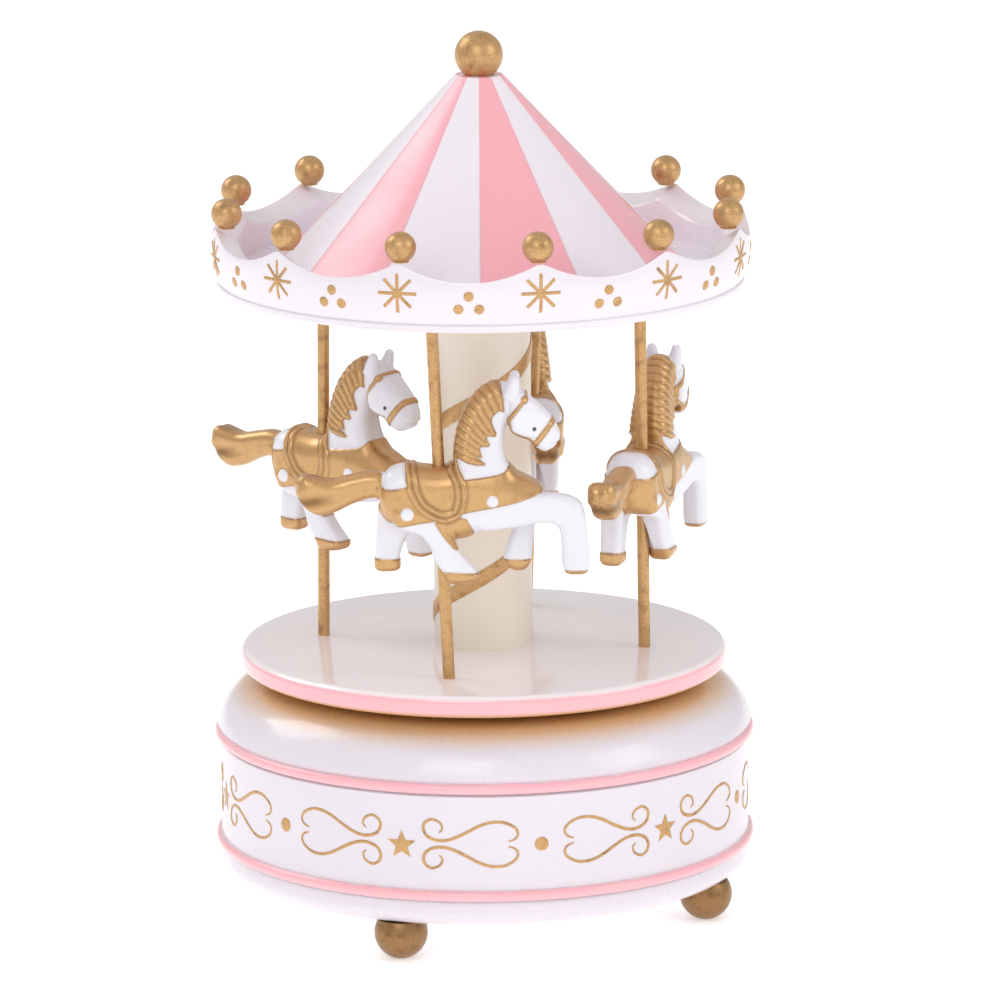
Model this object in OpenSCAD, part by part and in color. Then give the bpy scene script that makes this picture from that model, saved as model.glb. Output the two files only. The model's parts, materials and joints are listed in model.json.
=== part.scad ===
// Carousel music box: a pinned-cylinder movement in a round base turns a four-horse carousel.
// Origin: centre of the four feet's contact plane. +Z up, -Y is the front, units are millimetres.

/* [Base] */
// Outer diameter over the base rings
base_d = 110; // [109:0.5:112]
// Height of the deck's top above the feet's contact plane
deck_z = 48; // [48:0.1:48.3]
// Diameter of each ball foot
foot_d = 10.7; // [9.5:0.1:11]

/* [Carousel] */
// Diameter of the turntable
turntable_d = 99; // [96:0.5:100]
// Diameter of the centre column
column_d = 20; // [19:0.5:21]
// Diameter of each horse pole
pole_d = 2.4; // [2:0.1:2.4]
// Distance of each pole from the centre
pole_ring_r = 33.3; // [33:0.1:34]
// Outer diameter of the canopy rim
canopy_d = 109; // [108:0.5:110]
// Number of scallops on the canopy rim, each with a ball
scallops = 12; // [8:1:16]
// Diameter of each rim ball
rim_ball_d = 6.2; // [5:0.1:7]

/* [Movement] */
// Teeth on the crown wheel under the spring
crown_teeth = 30; // [30:1:30]
// Teeth on the pinion of the pinned cylinder
pinion_teeth = 12; // [12:1:12]
// Tracks on the pinned cylinder and teeth on the comb
comb_teeth = 16; // [12:1:16]
// Radial clearance of each running fit
running_gap = 0.05; // [0.02:0.01:0.08]

/* [Hidden] */
$fn = 96;
eps = 0.01;

// Base
base_r = base_d / 2;
base_z = 8;               // underside of the base shell
foot_r = foot_d / 2;
foot_z = foot_r - 0.15;   // sunk a little, for a small flat under each foot
foot_ring_r = 47.8;
foot_angles = [for (i = [0:3]) 69.2 + 90 * i];
cavity_r = 45;
cavity_top_z = deck_z - 3.5;
cover_r = 46;
cover_z = base_z + 0.2;
cover_top_z = base_z + 2.2;
low_ring_z = 14.8;        // middle of the lower ring
top_ring_z = 36.7;        // middle of the upper ring
ring_r = 1.1;             // half height of each ring
panel_r = base_r - 1;
dome_c = [base_r - 12.5, deck_z - 12.4];
dome_r = 12.4;

// Movement, seen from below: the cylinder's axis runs along +X under the crown wheel
arbor_r = 2;
plate_z = 41.5;           // underside of the bedplate
plate_t = 2;
barrel_r = 14;
barrel_z = 30.2;
crown_r = 11.75;          // mean radius of the crown teeth
crown_pitch_z = 26.5;
pinion_r = crown_r * pinion_teeth / crown_teeth;
cyl_z = crown_pitch_z - pinion_r;
cyl_r = 6.25;
cyl_x = [16.2, 34];
cyl_arbor_r = 0.8;
pin_r = 0.22;
pin_h = 0.4;
comb_pitch = 1.05;
comb_x0 = 17.2;
gear_m = 0.4;             // module of the small gears
cyl_gear_teeth = 36;
gov_pinion_teeth = 9;
worm_wheel_teeth = 20;
gov_y = -(cyl_gear_teeth + gov_pinion_teeth) * gear_m / 2;
gov_arbor_r = 0.7;
worm_r = 1.8;             // pitch radius of the worm
worm_starts = 2;
worm_x = 37.2;
worm_y = gov_y - worm_wheel_teeth * gear_m / 2 - worm_r;
worm_arbor_r = 0.6;
bracket_x = 14.4;
frame_x = 38.6;
plate_screws = [[-17, -10], [-10, 17], [10, -20], [34, 14]];
comb_y = 17;              // where the comb's teeth start
comb_screw_x = [19, 25.2, 31.4];

// Carousel
turntable_r = turntable_d / 2;
turntable_z = deck_z + 1.8;
turntable_top_z = 54.3;
column_r = column_d / 2;
pole_r = pole_d / 2;
pole_in = 2;              // depth of each pole's end in its socket
pole_angles = [-12.1, 78.8, 164.4, -101];     // at the turntable, clockwise from the front, seen from below
canopy_z = 128.5;
canopy_floor_z = 132;
canopy_r = canopy_d / 2;
scallop_top_z = 142.3;
scallop_low_z = 138.9;
scallop_at = 12.5;        // azimuth of the first rim ball
canopy_twist = 5.2;       // the canopy sits turned by this against the turntable, so the poles lean
rim_wall = 5;
roof_top_z = 171.2;
finial_r = 4.87;
finial_z = 180 - finial_r;

// Horses: heights of the saddles and headings from +X, anticlockwise seen from above
saddle_z = [98.2, 96.2, 99.4, 96.7];
headings = [0, 71.3, 95.6, -38.1];

function arc(c, r, a0, a1, n) = [for (i = [0:n]) let (a = a0 + (a1 - a0) * i / n) c + r * [cos(a), sin(a)]];
function around(r, azimuth) = [r * sin(azimuth), -r * cos(azimuth)];

// A point on a pole's axis: 0 is at the turntable's top and 1 at the canopy's underside
function on_pole(i, t) = (1 - t) * concat(around(pole_ring_r, pole_angles[i]), [turntable_top_z])
    + t * concat(around(pole_ring_r, pole_angles[i] - canopy_twist), [canopy_z]);
function saddle(i) = on_pole(i, (saddle_z[i] - turntable_top_z) / (canopy_z - turntable_top_z));

// A round rod along a pole's axis, reaching past both ends by extra
module pole_rod(i, r, extra) {
    low = on_pole(i, 0);
    d = on_pole(i, 1) - low;
    translate(low) rotate([0, acos(d[2] / norm(d)), atan2(d[1], d[0])])
        rotate(50) translate([0, 0, -extra]) cylinder(r = r, h = norm(d) + 2 * extra);
}

module tube(r_out, r_in, z0, z1) {
    difference() {
        translate([0, 0, z0]) cylinder(r = r_out, h = z1 - z0);
        translate([0, 0, z0 - 1]) cylinder(r = r_in, h = z1 - z0 + 2);
    }
}

// A round bar from x0 to x1 whose axis is parallel to X
module x_bar(r, x0, x1, y, z) {
    translate([x0, y, z]) rotate([0, 90, 0]) cylinder(r = r, h = x1 - x0);
}

module screw(head_r, head_h, shank_r, shank_l) {
    difference() {
        cylinder(r = head_r, h = head_h);
        translate([-head_r, -0.25, -eps]) cube([2 * head_r, 0.5, head_h * 0.5]);
    }
    translate([0, 0, head_h]) cylinder(r = shank_r, h = shank_l);
}

// Flat gear outline: straight-flanked teeth, the first one centred on +X or half a pitch off it
module gear_outline(teeth, pitch_r, add, ded, thick, shift) {
    step = 360 / teeth;
    root = pitch_r - ded;
    half = asin(thick / 2 / pitch_r);
    polygon([for (i = [0:teeth - 1]) let (a = (i + shift) * step) for (p = [
        [root, -half * 1.35], [pitch_r + add, -half * 0.6], [pitch_r + add, half * 0.6], [root, half * 1.35]])
        p[0] * [cos(a + p[1]), sin(a + p[1])]]);
}

// A gear on an axis parallel to X: its outline's +X points along +Y
module x_gear(x0, x1, y, z, teeth, pitch_r, add, ded, thick, shift, bore) {
    translate([x0, y, z]) rotate([90, 0, 90]) linear_extrude(x1 - x0) difference() {
        gear_outline(teeth, pitch_r, add, ded, thick, shift);
        circle(r = bore);
    }
}

// ---- Base ----

module base_shell() {
    outer = concat(
        [[0, base_z], [base_r - 5, base_z]],
        arc([base_r - 5, base_z + 4], 4, -75, -10, 6),
        [[base_r - 1.6, low_ring_z - ring_r - 0.1]],
        arc([base_r - ring_r, low_ring_z], ring_r, -90, 90, 8),
        [[panel_r, low_ring_z + ring_r + 0.2], [panel_r - 0.25, (low_ring_z + top_ring_z) / 2],
            [panel_r, top_ring_z - ring_r - 0.5], [base_r - 1.6, top_ring_z - ring_r - 0.1]],
        arc([base_r - ring_r, top_ring_z], ring_r, -90, 90, 8),
        arc(dome_c, dome_r, 14, 90, 12),
        [[0, deck_z]]);
    color("ghostwhite") difference() {
        rotate_extrude() polygon(outer);
        translate([0, 0, base_z - 1]) cylinder(r = cover_r + 0.2, h = cover_top_z - base_z + 1);
        translate([0, 0, cover_top_z - eps]) cylinder(r = cavity_r, h = 29 - cover_top_z);
        translate([0, 0, 29 - 2 * eps]) cylinder(r = cavity_r, h = 10);
        translate([0, 0, 39 - 3 * eps]) cylinder(r1 = cavity_r, r2 = 43, h = cavity_top_z - 39);
        cylinder(r = 3, h = deck_z + 1);
        for (p = plate_screws) translate([p[0], p[1], plate_z]) cylinder(r = 1 + running_gap, h = 5);
    }
    // Bosses for the cover screws, and spacers for the bedplate screws
    color("ghostwhite") for (a = [45:90:315]) rotate(a) difference() {
        translate([42.3, 0, cover_top_z]) cylinder(r = 2.9, h = 10);
        translate([42.3, 0, cover_top_z - 1]) cylinder(r = 1.2 + running_gap, h = 10);
    }
    color("ghostwhite") for (p = plate_screws) difference() {
        translate([p[0], p[1], plate_z + plate_t])
            cylinder(r = 3, h = cavity_top_z - plate_z - plate_t + 0.2);
        translate([p[0], p[1], plate_z]) cylinder(r = 1 + running_gap, h = 5);
    }
}

module bottom_cover() {
    color("ghostwhite") difference() {
        translate([0, 0, cover_z]) cylinder(r = cover_r, h = cover_top_z - cover_z);
        for (a = [45:90:315]) rotate(a) {
            translate([42.3, 0, 0]) cylinder(r = 1.3, h = 20);
            translate([42.3, 0, 0]) cylinder(r = 2.3, h = cover_z + 1);
        }
    }
}

module ball_feet() {
    color("peru") for (a = foot_angles) intersection() {
        translate(concat(around(foot_ring_r, a), [foot_z])) sphere(r = foot_r);
        cylinder(r = base_r + 5, h = base_z);
    }
}

module cover_screws() {
    color("silver") for (a = [45:90:315]) rotate(a)
        translate([42.3, 0, cover_z + 0.2]) screw(2.2, 0.8, 1.2, 7);
}

module deck_washer() {
    color("ivory") tube(8, 3.2, deck_z, turntable_z - 0.4);
}

// ---- Movement, fixed pieces ----

module bedplate() {
    color("silver") difference() {
        intersection() {
            translate([-24, -24, plate_z]) cube([68, 50, plate_t]);
            translate([0, 0, plate_z]) cylinder(r = 42.4, h = plate_t);
        }
        translate([0, 0, plate_z - 1]) cylinder(r = arbor_r + running_gap, h = plate_t + 2);
        translate([worm_x, worm_y, plate_z - 1]) cylinder(r = worm_arbor_r + running_gap, h = plate_t + 2);
        for (p = plate_screws) translate([p[0], p[1], plate_z - 1])
            cylinder(r = 1 + running_gap, h = plate_t + 2);
    }
}

module bedplate_screws() {
    color("dimgray") for (p = plate_screws)
        translate([p[0], p[1], plate_z - 1]) screw(2, 1, 1, plate_t + 2.4);
}

module spring_barrel() {
    color("goldenrod") difference() {
        translate([0, 0, barrel_z]) cylinder(r = barrel_r, h = plate_z - barrel_z);
        translate([0, 0, barrel_z + 1]) cylinder(r = barrel_r - 0.8, h = plate_z - barrel_z);
        translate([0, 0, barrel_z - 1]) cylinder(r = arbor_r + running_gap, h = 5);
    }
}

module mainspring() {
    turns = 5;
    r0 = 3.2;
    r1 = 12.4;
    steps = turns * 24;
    function at(i, off) = let (a = i * 15, r = r0 + (r1 - r0) * i / steps + off) r * [cos(a), sin(a)];
    color("steelblue") translate([0, 0, barrel_z + 1.5]) linear_extrude(8.5)
        polygon(concat([for (i = [0:steps]) at(i, 0)], [for (i = [steps:-1:0]) at(i, 0.35)]));
}

module cylinder_bracket() {
    color("silver") difference() {
        translate([bracket_x, -4, cyl_z - 3]) cube([1, 8, plate_z - cyl_z + 3]);
        x_bar(cyl_arbor_r + running_gap, bracket_x - 1, bracket_x + 2, 0, cyl_z);
    }
}

module governor_cock() {
    color("silver") difference() {
        translate([30.8, gov_y - 3, cyl_z - 3]) cube([1, 5, plate_z - cyl_z + 3]);
        x_bar(gov_arbor_r + running_gap, 30, 33, gov_y, cyl_z);
    }
}

module governor_frame() {
    foot_low_z = 13;
    color("silver") difference() {
        union() {
            translate([frame_x, -6, foot_low_z]) cube([1.2, 11, plate_z - foot_low_z]);
            translate([frame_x, gov_y - 3, foot_low_z]) cube([1.2, 6, 15]);
            translate([34.8, worm_y - 2.6, foot_low_z]) cube([5, 9, 1.2]);
        }
        x_bar(cyl_arbor_r + running_gap, frame_x - 1, frame_x + 3, 0, cyl_z);
        x_bar(gov_arbor_r + running_gap, frame_x - 1, frame_x + 3, gov_y, cyl_z);
        translate([worm_x, worm_y, foot_low_z - 1]) cylinder(r = worm_arbor_r + running_gap, h = 4);
    }
}

module comb() {
    width = comb_pitch * comb_teeth;
    color("lightsteelblue") difference() {
        union() {
            translate([comb_x0 - comb_pitch / 2, comb_y, cyl_z - 0.5]) cube([width, 7, 1]);
            for (i = [0:comb_teeth - 1])
                translate([comb_x0 + i * comb_pitch - 0.36, cyl_r + pin_h + 0.25, cyl_z - 0.25])
                    cube([0.72, comb_y - cyl_r - pin_h - 0.2, 0.5]);
        }
        for (x = comb_screw_x) translate([x, comb_y + 3.5, cyl_z - 2]) cylinder(r = 1 + running_gap, h = 4);
    }
}

module comb_block() {
    color("silver") difference() {
        translate([comb_x0 - comb_pitch / 2, comb_y + 0.5, cyl_z + 0.5])
            cube([comb_pitch * comb_teeth, 6.5, plate_z - cyl_z - 0.5]);
        for (x = comb_screw_x) translate([x, comb_y + 3.5, cyl_z]) cylinder(r = 1 + running_gap, h = 7);
    }
}

module comb_screws() {
    color("dimgray") for (x = comb_screw_x)
        translate([x, comb_y + 3.5, cyl_z - 1.5]) screw(1.7, 1, 1, 6);
}

// ---- Movement, turning pieces ----

module drive_arbor() {
    color("silver") translate([0, 0, 25]) cylinder(r = arbor_r, h = turntable_top_z - 26);
}

module crown_wheel() {
    plate_low_z = crown_pitch_z + 0.8;
    color("gold") {
        tube(crown_r + 1.45, arbor_r, plate_low_z, plate_low_z + 2);
        tube(4, arbor_r, plate_low_z + 2, barrel_z - 0.4);
        for (i = [0:crown_teeth - 1]) rotate((i + 0.5) * 360 / crown_teeth)
            translate([crown_r - 1.25, 0, plate_low_z]) rotate([90, 0, 90]) linear_extrude(2.5)
                polygon([[-0.5, 0.2], [-0.5, 0], [-0.3, -1.4], [0.3, -1.4], [0.5, 0], [0.5, 0.2]]);
    }
}

module pinned_cylinder() {
    color("goldenrod") difference() {
        union() {
            x_bar(cyl_r, cyl_x[0], cyl_x[1], 0, cyl_z);
            for (i = [0:comb_teeth - 1]) for (k = [0:2])
                translate([comb_x0 + i * comb_pitch, 0, cyl_z])
                    rotate([(i * 77 + k * (113 + 5 * i)) % 360, 0, 0])
                    translate([0, 0, cyl_r - 0.5]) cylinder(r = pin_r, h = 0.5 + pin_h, $fn = 6);
        }
        x_bar(cyl_arbor_r, cyl_x[0] - 1, cyl_x[1] + 1, 0, cyl_z);
    }
}

module cylinder_arbor() {
    color("silver") x_bar(cyl_arbor_r, 9.6, frame_x + 1.2, 0, cyl_z);
}

module cylinder_pinion() {
    // One of its teeth points straight up, into a gap of the crown wheel
    color("gold") x_gear(crown_r - 1.5, crown_r + 1.5, 0, cyl_z, pinion_teeth, pinion_r,
        0.55, 0.8, 0.9, 0, cyl_arbor_r);
}

module cylinder_gear() {
    color("gold") x_gear(cyl_x[1], cyl_x[1] + 1.6, 0, cyl_z, cyl_gear_teeth, cyl_gear_teeth * gear_m / 2,
        0.3, 0.5, 0.42, 0, cyl_arbor_r);
}

module governor_pinion() {
    color("gold") x_gear(33.8, 35.8, gov_y, cyl_z, gov_pinion_teeth, gov_pinion_teeth * gear_m / 2,
        0.3, 0.5, 0.42, 0.5, gov_arbor_r);
}

module worm_wheel() {
    color("gold") x_gear(worm_x - 0.45, worm_x + 0.45, gov_y, cyl_z, worm_wheel_teeth,
        worm_wheel_teeth * gear_m / 2,
        0.3, 0.5, 0.4, 0, gov_arbor_r);
}

module worm_wheel_arbor() {
    color("silver") x_bar(gov_arbor_r, 30.8, frame_x + 1.2, gov_y, cyl_z);
}

module governor_worm() {
    length = 8;
    lead = worm_starts * PI * gear_m;
    // The gap between two threads faces the wheel at the wheel's own height
    start = 90 + 90 - 360 * (length / 2) / lead;
    color("gold") translate([worm_x, worm_y, cyl_z - length / 2]) rotate(start)
        linear_extrude(length, twist = -360 * length / lead, slices = 40, $fn = 20) difference() {
            union() {
                circle(r = worm_r - 0.5, $fn = 20);
                for (s = [0:worm_starts - 1]) rotate(s * 360 / worm_starts)
                    polygon([[0, -1], [worm_r + 0.3, -0.45], [worm_r + 0.3, 0.45], [0, 1]]);
            }
            circle(r = worm_arbor_r + 0.04, $fn = 20);
        }
}

module governor_arbor() {
    color("silver") translate([worm_x, worm_y, 13])
        cylinder(r = worm_arbor_r - eps, h = plate_z + plate_t - 13);
}

module governor_fan() {
    color("gainsboro") translate([worm_x, worm_y, 30.5]) difference() {
        union() {
            cylinder(r = 1.2, h = 6);
            translate([-4.2, -0.2, 0]) cube([8.4, 0.4, 6]);
        }
        translate([0, 0, -1]) cylinder(r = worm_arbor_r - eps, h = 8);
    }
}

// ---- Carousel ----

module turntable() {
    edge = 1.6;
    color("mistyrose") difference() {
        rotate_extrude() polygon(concat(
            [[0, turntable_z]],
            arc([turntable_r - edge, turntable_z + edge], edge, -90, 0, 6),
            arc([turntable_r - edge, turntable_top_z - edge], edge, 0, 90, 6),
            [[0, turntable_top_z]]));
        translate([0, 0, turntable_z - 1]) cylinder(r = 4, h = turntable_top_z);
        for (i = [0:3]) pole_rod(i, pole_r, pole_in);
    }
}

module turntable_hub() {
    color("gold") tube(4, arbor_r, turntable_z, turntable_top_z);
}

module center_column() {
    color("antiquewhite") tube(column_r, column_r - 2.5, turntable_top_z, canopy_z);
}

module pole(i) {
    color("peru") pole_rod(i, pole_r, pole_in);
}
module pole_1() { pole(0); }
module pole_2() { pole(1); }
module pole_3() { pole(2); }
module pole_4() { pole(3); }

module canopy_rim() {
    low_r = canopy_r - 1.2;
    tilt = 26;
    depth = scallop_top_z - scallop_low_z + 0.4;
    valley_r = (pow(canopy_r * sin(180 / scallops), 2) + pow(depth, 2)) / (2 * depth);
    color("ghostwhite") difference() {
        rotate_extrude() polygon([
            [0, canopy_z], [low_r - 0.5, canopy_z], [low_r, canopy_z + 0.5], [low_r, canopy_z + 1.3],
            [low_r - 0.4, canopy_z + 1.6], [low_r, canopy_z + 1.9], [canopy_r - 0.4, canopy_z + 4.5],
            [canopy_r, canopy_z + 7.5], [canopy_r, scallop_top_z],
            [canopy_r - rim_wall, scallop_top_z], [canopy_r - rim_wall, canopy_floor_z],
            [0, canopy_floor_z]]);
        // Valleys between the balls, sloping down towards the roof
        for (i = [0:scallops - 1]) rotate(scallop_at - 90 + (i + 0.5) * 360 / scallops)
            translate([canopy_r - valley_r * sin(tilt), 0, scallop_low_z + valley_r * cos(tilt)])
                rotate([0, 90 - tilt, 0]) translate([0, 0, -9]) cylinder(r = valley_r, h = 19);
        for (i = [0:3]) pole_rod(i, pole_r, pole_in);
    }
}

module canopy_roof() {
    color("pink") rotate_extrude() polygon([
        [41.6, canopy_floor_z], [36.2, 137.9], [20.4, 154.6], [4.8, roof_top_z], [0, roof_top_z],
        [0, roof_top_z - 2.5], [2.9, roof_top_z - 2.5], [18.6, 152.2], [34, 136], [38, canopy_floor_z]]);
}

module finial_ball() {
    color("peru") difference() {
        translate([0, 0, finial_z]) sphere(r = finial_r);
        translate([0, 0, finial_z - 2 * finial_r])
            cylinder(r = finial_r, h = roof_top_z - finial_z + 2 * finial_r);
    }
}

module rim_balls() {
    ball_r = rim_ball_d / 2;
    sunk = 0.25;
    color("peru") for (i = [0:scallops - 1]) let (a = scallop_at + i * 360 / scallops)
        translate(concat(around(canopy_r - rim_wall / 2, a), [scallop_top_z])) difference() {
            translate([0, 0, ball_r - sunk]) sphere(r = ball_r);
            translate([0, 0, -2]) cylinder(r = ball_r, h = 2);
        }
}

// ---- Horses: nose along +X, saddle's top at the origin, on the pole's axis ----

// A round limb between two points in a plane parallel to XZ
module limb(p, q, r) {
    d = q - p;
    translate(p) rotate([0, atan2(d[0], d[2]), 0]) cylinder(r = r, h = norm(d));
    translate(q) sphere(r = r * 1.08);
}

module horse_blank() {
    $fn = 16;
    side = 3;
    hull() {
        translate([-6, 0, -5.8]) sphere(r = 5.5);
        translate([8, 0, -6.8]) sphere(r = 5.5);
        translate([16, 0, -7]) sphere(r = 3.4);
        translate([5, 0, -12.5]) sphere(r = 2.4);
    }
    hull() {
        translate([9, 0, -2]) sphere(r = 3.6);
        translate([12.5, 0, 12.5]) sphere(r = 2.8);
    }
    hull() {
        translate([14.5, 0, 13.5]) sphere(r = 3);
        translate([21.2, 0, 5.6]) sphere(r = 2.4);
    }
    hull() {
        translate([-11.5, 0, -4]) sphere(r = 2.3);
        translate([-25.6, 0, -4.4]) sphere(r = 2.2);
        translate([-23.6, 0, -7.6]) sphere(r = 2.2);
    }
    limb([12, -side, -9], [25.6, -side, -9.1], 2.5);
    limb([25.6, -side, -9.1], [26.8, -side, -20], 2.4);
    limb([14.5, side, -9], [16.8, side, -13.5], 2.3);
    limb([16.8, side, -13.5], [15.2, side, -20.4], 2.2);
    limb([-6.5, side, -9], [-9.8, side, -20.4], 2.3);
    limb([-4, -side, -9], [1, -side, -16], 2.5);
    limb([1, -side, -16], [4.2, -side, -21.4], 2.3);
}

module horse(i) {
    color("ghostwhite") difference() {
        translate(saddle(i)) rotate(headings[i]) horse_blank();
        pole_rod(i, pole_r + running_gap, 0);
    }
}
module horse_1() { horse(0); }
module horse_2() { horse(1); }
module horse_3() { horse(2); }
module horse_4() { horse(3); }

base_shell();
bottom_cover();
ball_feet();
cover_screws();
deck_washer();
bedplate();
bedplate_screws();
spring_barrel();
mainspring();
cylinder_bracket();
governor_cock();
governor_frame();
comb();
comb_block();
comb_screws();
drive_arbor();
crown_wheel();
turntable();
turntable_hub();
center_column();
pole_1();
pole_2();
pole_3();
pole_4();
canopy_rim();
canopy_roof();
finial_ball();
rim_balls();
pinned_cylinder();
cylinder_arbor();
cylinder_pinion();
cylinder_gear();
governor_pinion();
worm_wheel();
worm_wheel_arbor();
governor_worm();
governor_arbor();
governor_fan();
horse_1();
horse_2();
horse_3();
horse_4();
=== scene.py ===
"""Looks of the carousel music box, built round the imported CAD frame.

Lengths are millimetres until a mesh is made.
"""

import json
import math

import bpy
import numpy as np
import openvdb
from mathutils import Matrix, Vector


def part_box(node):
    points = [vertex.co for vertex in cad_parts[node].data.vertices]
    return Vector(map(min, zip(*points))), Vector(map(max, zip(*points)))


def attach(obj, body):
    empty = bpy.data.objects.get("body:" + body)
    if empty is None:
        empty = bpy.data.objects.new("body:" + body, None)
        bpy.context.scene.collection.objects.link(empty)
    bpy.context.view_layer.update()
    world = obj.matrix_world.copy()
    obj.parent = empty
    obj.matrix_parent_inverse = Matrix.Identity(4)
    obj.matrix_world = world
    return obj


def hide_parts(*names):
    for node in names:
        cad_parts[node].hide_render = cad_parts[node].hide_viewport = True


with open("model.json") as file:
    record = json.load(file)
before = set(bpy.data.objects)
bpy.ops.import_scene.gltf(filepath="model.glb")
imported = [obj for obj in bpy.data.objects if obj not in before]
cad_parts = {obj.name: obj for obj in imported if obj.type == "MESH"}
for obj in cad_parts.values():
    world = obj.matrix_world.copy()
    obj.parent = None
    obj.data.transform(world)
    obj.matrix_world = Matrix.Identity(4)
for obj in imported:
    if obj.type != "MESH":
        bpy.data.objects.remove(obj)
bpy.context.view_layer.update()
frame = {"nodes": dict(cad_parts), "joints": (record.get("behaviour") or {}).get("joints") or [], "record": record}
MM = 0.001


def cad(node):
    """A CAD node's lowest and highest corners, in millimetres."""
    low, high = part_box(node)
    return np.array(low) / MM, np.array(high) / MM


# ---- Sizes read from the frame ----

SHELL_LOW, SHELL_HIGH = cad("base_shell")
BASE_R = SHELL_HIGH[0]
BASE_Z = SHELL_LOW[2]
DECK_Z = SHELL_HIGH[2]
TABLE_R = cad("turntable")[1][0]
TABLE_LOW_Z = cad("turntable")[0][2]
TABLE_Z = cad("turntable")[1][2]
COLUMN_R = cad("center_column")[1][0]
POLE_R = 1.2
CANOPY_R = cad("canopy_rim")[1][0]
CANOPY_Z = cad("canopy_rim")[0][2]
RIM_TOP_Z = cad("canopy_rim")[1][2]
ROOF_Z = cad("canopy_roof")[0][2]
ROOF_TOP_Z = cad("canopy_roof")[1][2]
TOP_Z = cad("finial_ball")[1][2]
LOW_RING_Z = BASE_Z + 6.8
TOP_RING_Z = DECK_Z - 11.3
RING_R = 1.1
PANEL_R = BASE_R - 1
RIM_WALL = 5
SCALLOPS = 12
SCALLOP_AT = 12.5
SCALLOP_LOW_Z = RIM_TOP_Z - 3.4
BALL_R = 3.1
FINIAL_R = 4.87
FOOT_R = 5.35
FOOT_RING_R = 47.8
FOOT_AT = 69.2
RIBBON_PITCH = 37.0
RIBBON_WIDTH = 3.4
RIBBON_MIDDLE_Z = 69.7
GILT_HEIGHT = 0.16
LINE_WIDTH = 0.68
HORSE_HEADINGS = (0, 71.3, 95.6, -38.1)

# ---- Materials ----

WHITE = (0.85, 0.79, 0.85)
# The roof's white is lighter than WHITE, as painted light on its top-lit slope.
LIT_ROOF_WHITE = (0.92, 0.845, 0.91)
# The base casting's white is darker than WHITE, as painted shade over the whole casting.
SHADED_BASE_WHITE = (0.79, 0.735, 0.795)
HORSE_WHITE = (0.80, 0.795, 0.85)
PINK = (0.99, 0.455, 0.515)
PALE_PINK = (0.97, 0.49, 0.53)
# The turntable top's colour is lighter than WHITE, as painted light for its place in the canopy's shade.
LIT_TABLE_WHITE = (0.95, 0.86, 0.88)
CREAM = (0.92, 0.84, 0.72)
GOLD = (0.61, 0.36, 0.152)
DARK_GOLD = (0.17, 0.075, 0.02)
TAN = (0.72, 0.43, 0.195)


class Nodes:
    """Small helper for building one material's node tree."""

    def __init__(self, name):
        self.material = bpy.data.materials.new(name)
        self.material.use_nodes = True
        self.tree = self.material.node_tree
        self.shader = self.tree.nodes["Principled BSDF"]

    def add(self, kind, **values):
        node = self.tree.nodes.new(kind)
        for key, value in values.items():
            setattr(node, key, value)
        return node

    def link(self, source, target):
        self.tree.links.new(source, target)

    def put(self, socket, value):
        if isinstance(value, bpy.types.NodeSocket):
            self.link(value, socket)
        elif isinstance(value, tuple) and len(value) == 3:
            socket.default_value = (*value, 1)
        else:
            socket.default_value = value

    def coords(self):
        return self.add("ShaderNodeTexCoord").outputs["Object"]

    def noise(self, scale, detail=3, rough=0.5, vector=None):
        node = self.add("ShaderNodeTexNoise")
        node.inputs["Scale"].default_value = scale
        node.inputs["Detail"].default_value = detail
        node.inputs["Roughness"].default_value = rough
        self.link(vector or self.coords(), node.inputs["Vector"])
        return node.outputs["Fac"]

    def span(self, value, low, high, out_low=0.0, out_high=1.0):
        """Maps low..high smoothly to out_low..out_high."""
        node = self.add("ShaderNodeMapRange", interpolation_type="SMOOTHSTEP")
        for key, number in zip((0, 1, 2, 3, 4), (value, low, high, out_low, out_high)):
            self.put(node.inputs[key], number)
        return node.outputs[0]

    def math(self, operation, a, b=0.0, c=0.0):
        node = self.add("ShaderNodeMath", operation=operation)
        for key, number in zip((0, 1, 2), (a, b, c)):
            self.put(node.inputs[key], number)
        return node.outputs[0]

    def mix(self, factor, a, b):
        node = self.add("ShaderNodeMix", data_type="RGBA")
        self.put(node.inputs["Factor"], factor)
        self.put(node.inputs["A"], a)
        self.put(node.inputs["B"], b)
        return node.outputs["Result"]

    def mask(self, name):
        return self.add("ShaderNodeAttribute", attribute_name=name).outputs["Fac"]

    def bump(self, *layers):
        """Stacks bump layers, each (height, strength, distance in mm)."""
        normal = None
        for height, strength, distance in layers:
            node = self.add("ShaderNodeBump")
            node.inputs["Strength"].default_value = strength
            node.inputs["Distance"].default_value = distance * MM
            self.link(height, node.inputs["Height"])
            if normal is not None:
                self.link(normal, node.inputs["Normal"])
            normal = node.outputs["Normal"]
        self.link(normal, self.shader.inputs["Normal"])

    def finish(self, color, roughness, metallic=0.0, coat=0.0, coat_rough=0.1):
        self.put(self.shader.inputs["Base Color"], color)
        self.put(self.shader.inputs["Roughness"], roughness)
        self.put(self.shader.inputs["Metallic"], metallic)
        self.shader.inputs["Coat Weight"].default_value = coat
        self.shader.inputs["Coat Roughness"].default_value = coat_rough
        return self.material


def shade(color, amount):
    return tuple(channel * amount for channel in color)


def plastic_color(n, color):
    """Moulded plastic isn't one flat colour: broad mottling and fine specks."""
    broad = n.span(n.noise(60, 2), 0.35, 0.65)
    specks = n.span(n.noise(1400, 2), 0.66, 0.74)
    mottled = n.mix(broad, shade(color, 0.988), color)
    return n.mix(n.math("MULTIPLY", specks, 0.05), mottled, shade(color, 0.72))


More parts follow.
